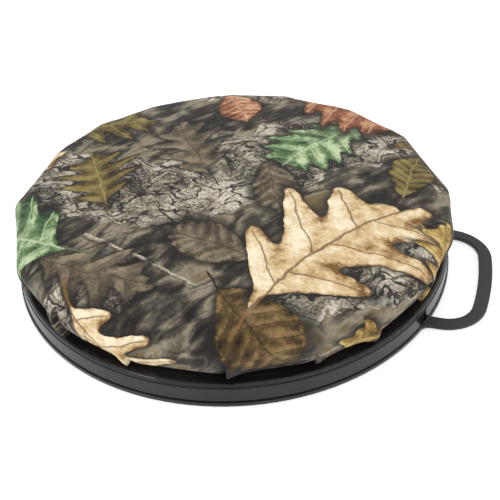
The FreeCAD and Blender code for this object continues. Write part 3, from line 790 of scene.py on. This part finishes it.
def relax_as_cloth(made, weight):
    """Lets the cloth settle under a little pressure with its hem held, and applies the result.

    A point moves at most MOST_MOVE, and less where its weight is under 1.
    """
    before = read_points(made.data)
    held = made.vertex_groups.new(name="held")
    for i in np.nonzero(before[:, 2] < BOARD_UNDER_Z + 0.5 * MM)[0]:
        held.add([int(i)], 1.0, "ADD")
    cloth = made.modifiers.new("cloth", "CLOTH")
    settings = cloth.settings
    settings.quality = 6
    settings.mass = 0.15
    settings.tension_stiffness = 18
    settings.compression_stiffness = 18
    settings.shear_stiffness = 6
    settings.bending_stiffness = 0.25
    settings.use_pressure = True
    settings.uniform_pressure_force = PRESSURE
    settings.shrink_min = -0.012
    settings.vertex_group_mass = "held"
    settings.effector_weights.gravity = 0
    cloth.collision_settings.use_collision = False
    cloth.collision_settings.use_self_collision = False
    scene = bpy.context.scene
    for i in range(1, SETTLE_FRAMES + 1):
        scene.frame_set(i)
    settled = made.evaluated_get(bpy.context.evaluated_depsgraph_get())
    after = read_points(settled.data)
    made.modifiers.remove(cloth)
    made.vertex_groups.clear()
    scene.frame_set(1)
    move = (after - before) * weight[:, None]
    length = np.linalg.norm(move, axis=1, keepdims=True)
    move *= np.minimum(1.0, MOST_MOVE / np.maximum(length, 1e-9))
    write_points(made.data, before + move)


# ---------------------------------------------------------------- pleats


def pleat(co):
    """Adds a knife pleat, a hanging tip and faint tension folds at each pull point."""
    r = np.hypot(co[:, 0], co[:, 1])
    angles = np.mod(np.arctan2(co[:, 1], co[:, 0]), 2 * math.pi)
    outward = np.stack([np.cos(angles), np.sin(angles), np.zeros_like(r)], axis=1)
    around = np.stack([-np.sin(angles), np.cos(angles), np.zeros_like(r)], axis=1)
    moved = co.copy()
    rim = smooth_step(r, 0.138, 0.150)
    foot = np.exp(-(((co[:, 2] - HEM_Z) / (4.5 * MM)) ** 2)) * smooth_step(r, 0.138, 0.148)
    for degrees, side, depth, height, hang in PULLS:
        off = np.mod(angles - math.radians(degrees) + math.pi, 2 * math.pi) - math.pi
        t = off * WIDEST_R * side / MM
        outer = t <= PLEAT_EDGE
        layer = np.clip(1 + t / LAYER_REACH, 0, 1) ** 1.6 * outer
        trough = np.clip(1 - (t - PLEAT_EDGE) / TROUGH_REACH, 0, 1) * ~outer
        low_side = 1 - smooth_step(co[:, 2], 24 * MM, height * MM)
        push = depth * MM * low_side * rim * (0.6 * layer - trough)
        moved += outward * push[:, None]
        lapped = np.clip(1 + t / LAP_REACH, 0, 1) ** 2 * outer
        moved += around * (side * 0.45 * depth * MM * low_side * rim * lapped)[:, None]
        tip = foot * np.clip(1 + t / TIP_REACH, 0, 1) ** 1.5 * outer * hang * MM
        moved[:, 2] -= tip * 0.8
        moved += outward * (tip * 0.7)[:, None]
        rise = np.clip((co[:, 2] - HEM_Z) / (26 * MM), 0, 1)
        faded = smooth_step(-rise, -1.0, -0.5) * smooth_step(rise, 0.0, 0.2) * smooth_step(r, 0.14, 0.15)
        for fan, stands in TENSION_FOLDS:
            fold = np.exp(-(((t - fan * rise) / (1.6 + 3.0 * rise)) ** 2))
            moved += outward * (fold * faded * stands * MM)[:, None]
    before, after = between_pulls(angles)
    part = (angles - before) / (after - before)
    moved[:, 2] += foot * np.sin(math.pi * part) ** 2 * ARCH_BETWEEN_PULLS
    return moved


def subdivide(made):
    """Applies one level of subdivision surface."""
    finer = made.modifiers.new("finer", "SUBSURF")
    finer.levels = 1
    finer.render_levels = 1
    settle(made)


def settle(made):
    """Makes the evaluated mesh the object's own mesh, and drops its modifiers."""
    evaluated = made.evaluated_get(bpy.context.evaluated_depsgraph_get())
    mesh = bpy.data.meshes.new_from_object(evaluated)
    old = made.data
    made.modifiers.clear()
    made.data = mesh
    mesh.name = made.name
    bpy.data.meshes.remove(old)


def shade_smooth(made):
    made.data.polygons.foreach_set("use_smooth", [True] * len(made.data.polygons))
    made.data.update()


def cloth_places(made, rows, profile):
    """Stores each point's place on the flat cloth, in millimetres from its middle."""
    runs = [0.0]
    for (r0, z0), (r1, z1) in zip(profile, profile[1:]):
        runs.append(runs[-1] + math.hypot(r1 - r0, z1 - z0))
    co = read_points(made.data)
    angles = np.arctan2(co[:, 1], co[:, 0])
    run = np.array(runs)[rows] / MM
    flat = np.stack([run * np.cos(angles), run * np.sin(angles), np.zeros_like(run)], axis=1)
    stored = made.data.attributes.new("cloth", "FLOAT_VECTOR", "POINT")
    stored.data.foreach_set("vector", flat.ravel())


def make_cover():
    """The printed cover: a sheet over the cushion, held under the board, with a thickness."""
    profile = section(0.0, COVER_SPACING)
    foot_r = profile[-1][0]
    profile += [
        (foot_r + (HEM_INNER_R - foot_r) * i / HEM_STEPS, HEM_Z) for i in range(1, HEM_STEPS + 1)
    ]
    made, rows = disc_mesh("cushion_cover", profile)
    cloth_places(made, rows, profile)
    co = shape_polygon(read_points(made.data))
    write_points(made.data, co)
    r = np.hypot(co[:, 0], co[:, 1])
    weight = MIDDLE_WEIGHT + (1 - MIDDLE_WEIGHT) * smooth_step(r, 0.10, 0.14)
    relax_as_cloth(made, weight)
    write_points(made.data, pleat(read_points(made.data)))
    subdivide(made)
    thick = made.modifiers.new("thickness", "SOLIDIFY")
    thick.thickness = CLOTH_T
    thick.offset = -1.0
    settle(made)
    shade_smooth(made)
    made.data.materials.append(cloth_material())
    return made


def make_foam():
    """The foam under the cover, following its corners and chords, closed underneath."""
    low = board_high.z + FOAM_CLEARANCE
    profile = [(r, z) for r, z in section(FOAM_DEPTH, FOAM_SPACING) if z > low]
    profile += [(r, low) for r in FOAM_BASE_RADII]
    made, _ = disc_mesh("cushion_foam", profile)
    write_points(made.data, shape_polygon(read_points(made.data)))
    mesh = bmesh.new()
    mesh.from_mesh(made.data)
    bmesh.ops.holes_fill(mesh, edges=[e for e in mesh.edges if e.is_boundary])
    bmesh.ops.recalc_face_normals(mesh, faces=mesh.faces)
    mesh.to_mesh(made.data)
    mesh.free()
    shade_smooth(made)
    made.data.materials.append(foam())
    return made


# ---------------------------------------------------------------- dressing the CAD nodes


def dress(node, material):
    """Gives a CAD node a better material in place of its plain one."""
    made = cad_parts[node]
    made.data.materials.clear()
    made.data.materials.append(material)


def dress_all():
    lid = plastic("lid_plastic", srgb(17, 17, 20), 0.18, 900.0, 0.04, 0.14)
    handle = plastic("handle_plastic", srgb(37, 34, 34), 0.6, 1400.0, 0.12, 0.1)
    acetal = plastic("race_acetal", srgb(222, 219, 208), 0.4, 500.0, 0.04, 0.1)
    nylon = plastic("cage_nylon", srgb(232, 226, 204), 0.45, 500.0, 0.04, 0.1)
    zinc = metal("zinc_steel", (0.66, 0.66, 0.63), 0.32)
    steel = metal("ball_steel", (0.78, 0.78, 0.8), 0.08)
    looks = {
        "bucket_lid": lid,
        "carry_handle": handle,
        "rim_gasket": rubber(),
        "lower_race": acetal,
        "upper_race": acetal,
        "ball_cage": nylon,
        "pivot_bush": nylon,
        "bearing_balls": steel,
        "seat_board": wood(),
        "hem_drawcord": elastic(),
    }
    for node in ("lower_race_screws", "lower_race_washers", "lower_race_nuts", "upper_race_screws",
                 "board_tee_nuts", "pivot_bolt", "pivot_washer", "pivot_locknut", "cover_staples"):
        looks[node] = zinc
    for node, material in looks.items():
        dress(node, material)


# ---------------------------------------------------------------- camera, lights and floor


def make_camera():
    """The camera stands 0.58 m from the lid's middle, 20 degrees round from the front."""
    distance = 0.58
    azimuth = math.radians(20.0)
    elevation = math.radians(37.744)
    yaw = math.radians(-1.145)
    pitch = math.radians(-0.516)
    roll = math.radians(-3.563)
    back = Vector(
        (
            math.sin(azimuth) * math.cos(elevation),
            -math.cos(azimuth) * math.cos(elevation),
            math.sin(elevation),
        )
    )
    right = Vector((math.cos(azimuth), math.sin(azimuth), 0.0))
    up = back.cross(right)
    turn = Matrix((right, up, back)).transposed()
    for angle, axis in ((yaw, "Y"), (pitch, "X"), (roll, "Z")):
        turn = turn @ Matrix.Rotation(angle, 3, axis)
    data = bpy.data.cameras.new("camera")
    data.lens = 54.71
    data.sensor_width = 36.0
    camera = bpy.data.objects.new("camera", data)
    bpy.context.scene.collection.objects.link(camera)
    camera.matrix_world = Matrix.Translation(back * distance) @ turn.to_4x4()
    bpy.context.scene.camera = camera


def area_light(name, place, size, power):
    """A square soft light that faces the seat."""
    data = bpy.data.lights.new(name, "AREA")
    data.size = size
    data.energy = power
    light = bpy.data.objects.new(name, data)
    bpy.context.scene.collection.objects.link(light)
    light.location = place
    light.rotation_mode = "QUATERNION"
    light.rotation_quaternion = (Vector(place) - LIGHTS_AIM).to_track_quat("Z", "Y")


def make_floor():
    """A plain pale floor, just under the lid's lip."""
    mesh = bpy.data.meshes.new("floor")
    corners = [(x * FLOOR_HALF, y * FLOOR_HALF, FLOOR_Z) for x, y in ((-1, -1), (1, -1), (1, 1), (-1, 1))]
    mesh.from_pydata(corners, [], [(0, 1, 2, 3)])
    floor = bpy.data.objects.new("floor", mesh)
    bpy.context.scene.collection.objects.link(floor)
    material, t, shader = new_material("floor", roughness=0.9, specular=0.0, glow=0.35)
    shader.inputs["Emission Color"].default_value = (1, 1, 1, 1)
    place = t.node("ShaderNodeTexCoord").outputs["Object"]
    t.feed(
        shader.inputs["Base Color"],
        t.mix(t.noise(place, 3.0), opaque((0.9, 0.9, 0.9)), opaque((0.93, 0.93, 0.93))),
    )
    mesh.materials.append(material)


def make_studio():
    """Soft even studio light and a white surround."""
    world = bpy.data.worlds.new("studio")
    bpy.context.scene.world = world
    world.use_nodes = True
    world.node_tree.nodes["Background"].inputs["Color"].default_value = (1, 1, 1, 1)
    world.node_tree.nodes["Background"].inputs["Strength"].default_value = SURROUND_STRENGTH
    for light in LIGHTS:
        area_light(*light)
    make_floor()
    bpy.context.scene.view_settings.view_transform = "Standard"


# ---------------------------------------------------------------- the scene

make_camera()
make_studio()
dress_all()

cover = make_cover()
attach(cover, "seat")
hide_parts("seat_cover")

pad = make_foam()
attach(pad, "seat")
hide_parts("foam_pad")
